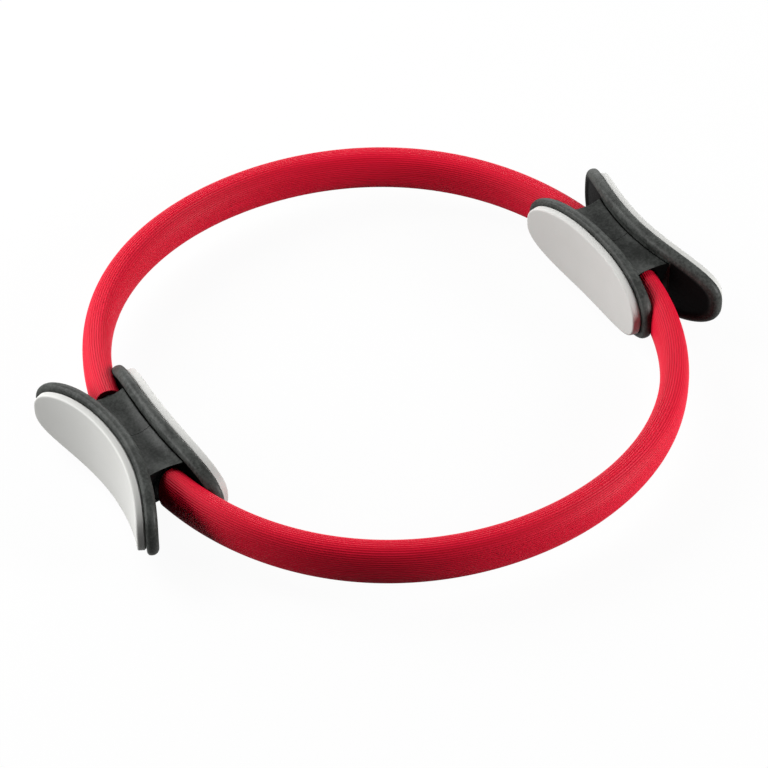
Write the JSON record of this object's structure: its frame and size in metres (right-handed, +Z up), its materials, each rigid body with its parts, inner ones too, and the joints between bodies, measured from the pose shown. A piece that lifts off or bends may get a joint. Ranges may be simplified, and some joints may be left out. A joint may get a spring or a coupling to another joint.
{
  "type": "pilates ring",
  "caption": "Springy hoop in a ribbed rubber sleeve, with two padded spool-shaped grips opposite each other, squeezed together or pushed apart for exercise.",
  "frame": {"origin": "under the middle of the hoop, on the surface that the ring lies on", "axes": "+X from grip A to grip B, +Y towards the rear half of the hoop, +Z up out of the hoop's plane"},
  "size_m": [0.4214, 0.3848, 0.054],
  "materials": {
    "red_rubber": "satin red rubber with fine ribs that run along the hoop",
    "black_moulding": "matt charcoal moulding, slightly mottled",
    "grey_pad": "smooth matt pale warm grey pad",
    "foam": "dark foam liner, hidden",
    "fibreglass": "pultruded fibreglass strip, hidden",
    "steel": "zinc-plated steel, hidden"
  },
  "bodies": {
    "grip_a": {"outer_flange_a": "black_moulding", "inner_flange_a": "black_moulding", "outer_pad_a": "grey_pad", "inner_pad_a": "grey_pad", "core_front_a": "black_moulding", "core_rear_a": "black_moulding", "band_end_front_a": "fibreglass", "band_end_rear_a": "fibreglass", "liner_end_front_a": "foam", "liner_end_rear_a": "foam", "splice_plate_a": "steel", "screw_front_a": "steel", "screw_rear_a": "steel", "nut_front_a": "steel", "nut_rear_a": "steel", "sleeve_front": "red_rubber", "sleeve_rear": "red_rubber"},
    "front_1": {"band_front_1": "fibreglass", "liner_front_1": "foam"},
    "front_2": {"band_front_2": "fibreglass", "liner_front_2": "foam"},
    "front_3": {"band_front_3": "fibreglass", "liner_front_3": "foam"},
    "front_4": {"band_front_4": "fibreglass", "liner_front_4": "foam"},
    "rear_1": {"band_rear_1": "fibreglass", "liner_rear_1": "foam"},
    "rear_2": {"band_rear_2": "fibreglass", "liner_rear_2": "foam"},
    "rear_3": {"band_rear_3": "fibreglass", "liner_rear_3": "foam"},
    "rear_4": {"band_rear_4": "fibreglass", "liner_rear_4": "foam"},
    "rear_5": {"band_rear_5": "fibreglass", "liner_rear_5": "foam"},
    "grip_b": {"outer_flange_b": "black_moulding", "inner_flange_b": "black_moulding", "outer_pad_b": "grey_pad", "inner_pad_b": "grey_pad", "core_front_b": "black_moulding", "core_rear_b": "black_moulding", "band_end_front_b": "fibreglass", "band_end_rear_b": "fibreglass", "liner_end_front_b": "foam", "liner_end_rear_b": "foam", "splice_plate_b": "steel", "screw_front_b": "steel", "screw_rear_b": "steel", "nut_front_b": "steel", "nut_rear_b": "steel"}
  },
  "joints": [
    {"name": "squeeze", "type": "hinge", "parent": "grip_a", "child": "front_1", "pos_m": [-0.16088, -0.07847, 0.02675], "axis": [0, 0, -1], "range_deg": [-9, 17], "stiffness_Nm_per_rad": 110, "deforming": ["sleeve_front", "sleeve_rear"]},
    {"name": "flex_front_2", "type": "hinge", "parent": "front_1", "child": "front_2", "pos_m": [-0.0918, -0.159, 0.02675], "axis": [0, 0, -1], "range_deg": [-9.6, 5.1]},
    {"name": "flex_front_3", "type": "hinge", "parent": "front_2", "child": "front_3", "pos_m": [0, -0.1834, 0.02675], "axis": [0, 0, -1], "range_deg": [-15, 8]},
    {"name": "flex_front_4", "type": "hinge", "parent": "front_3", "child": "front_4", "pos_m": [0.0918, -0.159, 0.02675], "axis": [0, 0, -1], "range_deg": [-9.6, 5.1]},
    {"name": "flex_front_5", "type": "hinge", "parent": "front_4", "child": "grip_b", "pos_m": [0.16088, -0.07847, 0.02675], "axis": [0, 0, -1], "range_deg": [-9, 17]},
    {"name": "flex_rear_1", "type": "hinge", "parent": "grip_a", "child": "rear_1", "pos_m": [-0.16088, 0.07847, 0.02675], "axis": [0, 0, 1], "range_deg": [-9, 17]},
    {"name": "flex_rear_2", "type": "hinge", "parent": "rear_1", "child": "rear_2", "pos_m": [-0.0918, 0.159, 0.02675], "axis": [0, 0, 1], "range_deg": [-9.6, 5.1]},
    {"name": "flex_rear_3", "type": "hinge", "parent": "rear_2", "child": "rear_3", "pos_m": [0, 0.1834, 0.02675], "axis": [0, 0, 1], "range_deg": [-15, 8]},
    {"name": "flex_rear_4", "type": "hinge", "parent": "rear_3", "child": "rear_4", "pos_m": [0.0918, 0.159, 0.02675], "axis": [0, 0, 1], "range_deg": [-9.6, 5.1]},
    {"name": "flex_rear_5", "type": "hinge", "parent": "grip_b", "child": "rear_5", "pos_m": [0.16088, 0.07847, 0.02675], "axis": [0, 0, -1], "range_deg": [-9, 17]}
  ],
  "couplings": [
    {"joint": "flex_front_2", "follows": "squeeze", "ratio": -0.56},
    {"joint": "flex_front_3", "follows": "squeeze", "ratio": -0.88},
    {"joint": "flex_front_4", "follows": "squeeze", "ratio": -0.56},
    {"joint": "flex_front_5", "follows": "squeeze", "ratio": 1},
    {"joint": "flex_rear_1", "follows": "squeeze", "ratio": 1},
    {"joint": "flex_rear_2", "follows": "squeeze", "ratio": -0.56},
    {"joint": "flex_rear_3", "follows": "squeeze", "ratio": -0.88},
    {"joint": "flex_rear_4", "follows": "squeeze", "ratio": -0.56},
    {"joint": "flex_rear_5", "follows": "squeeze", "ratio": 1}
  ]
}
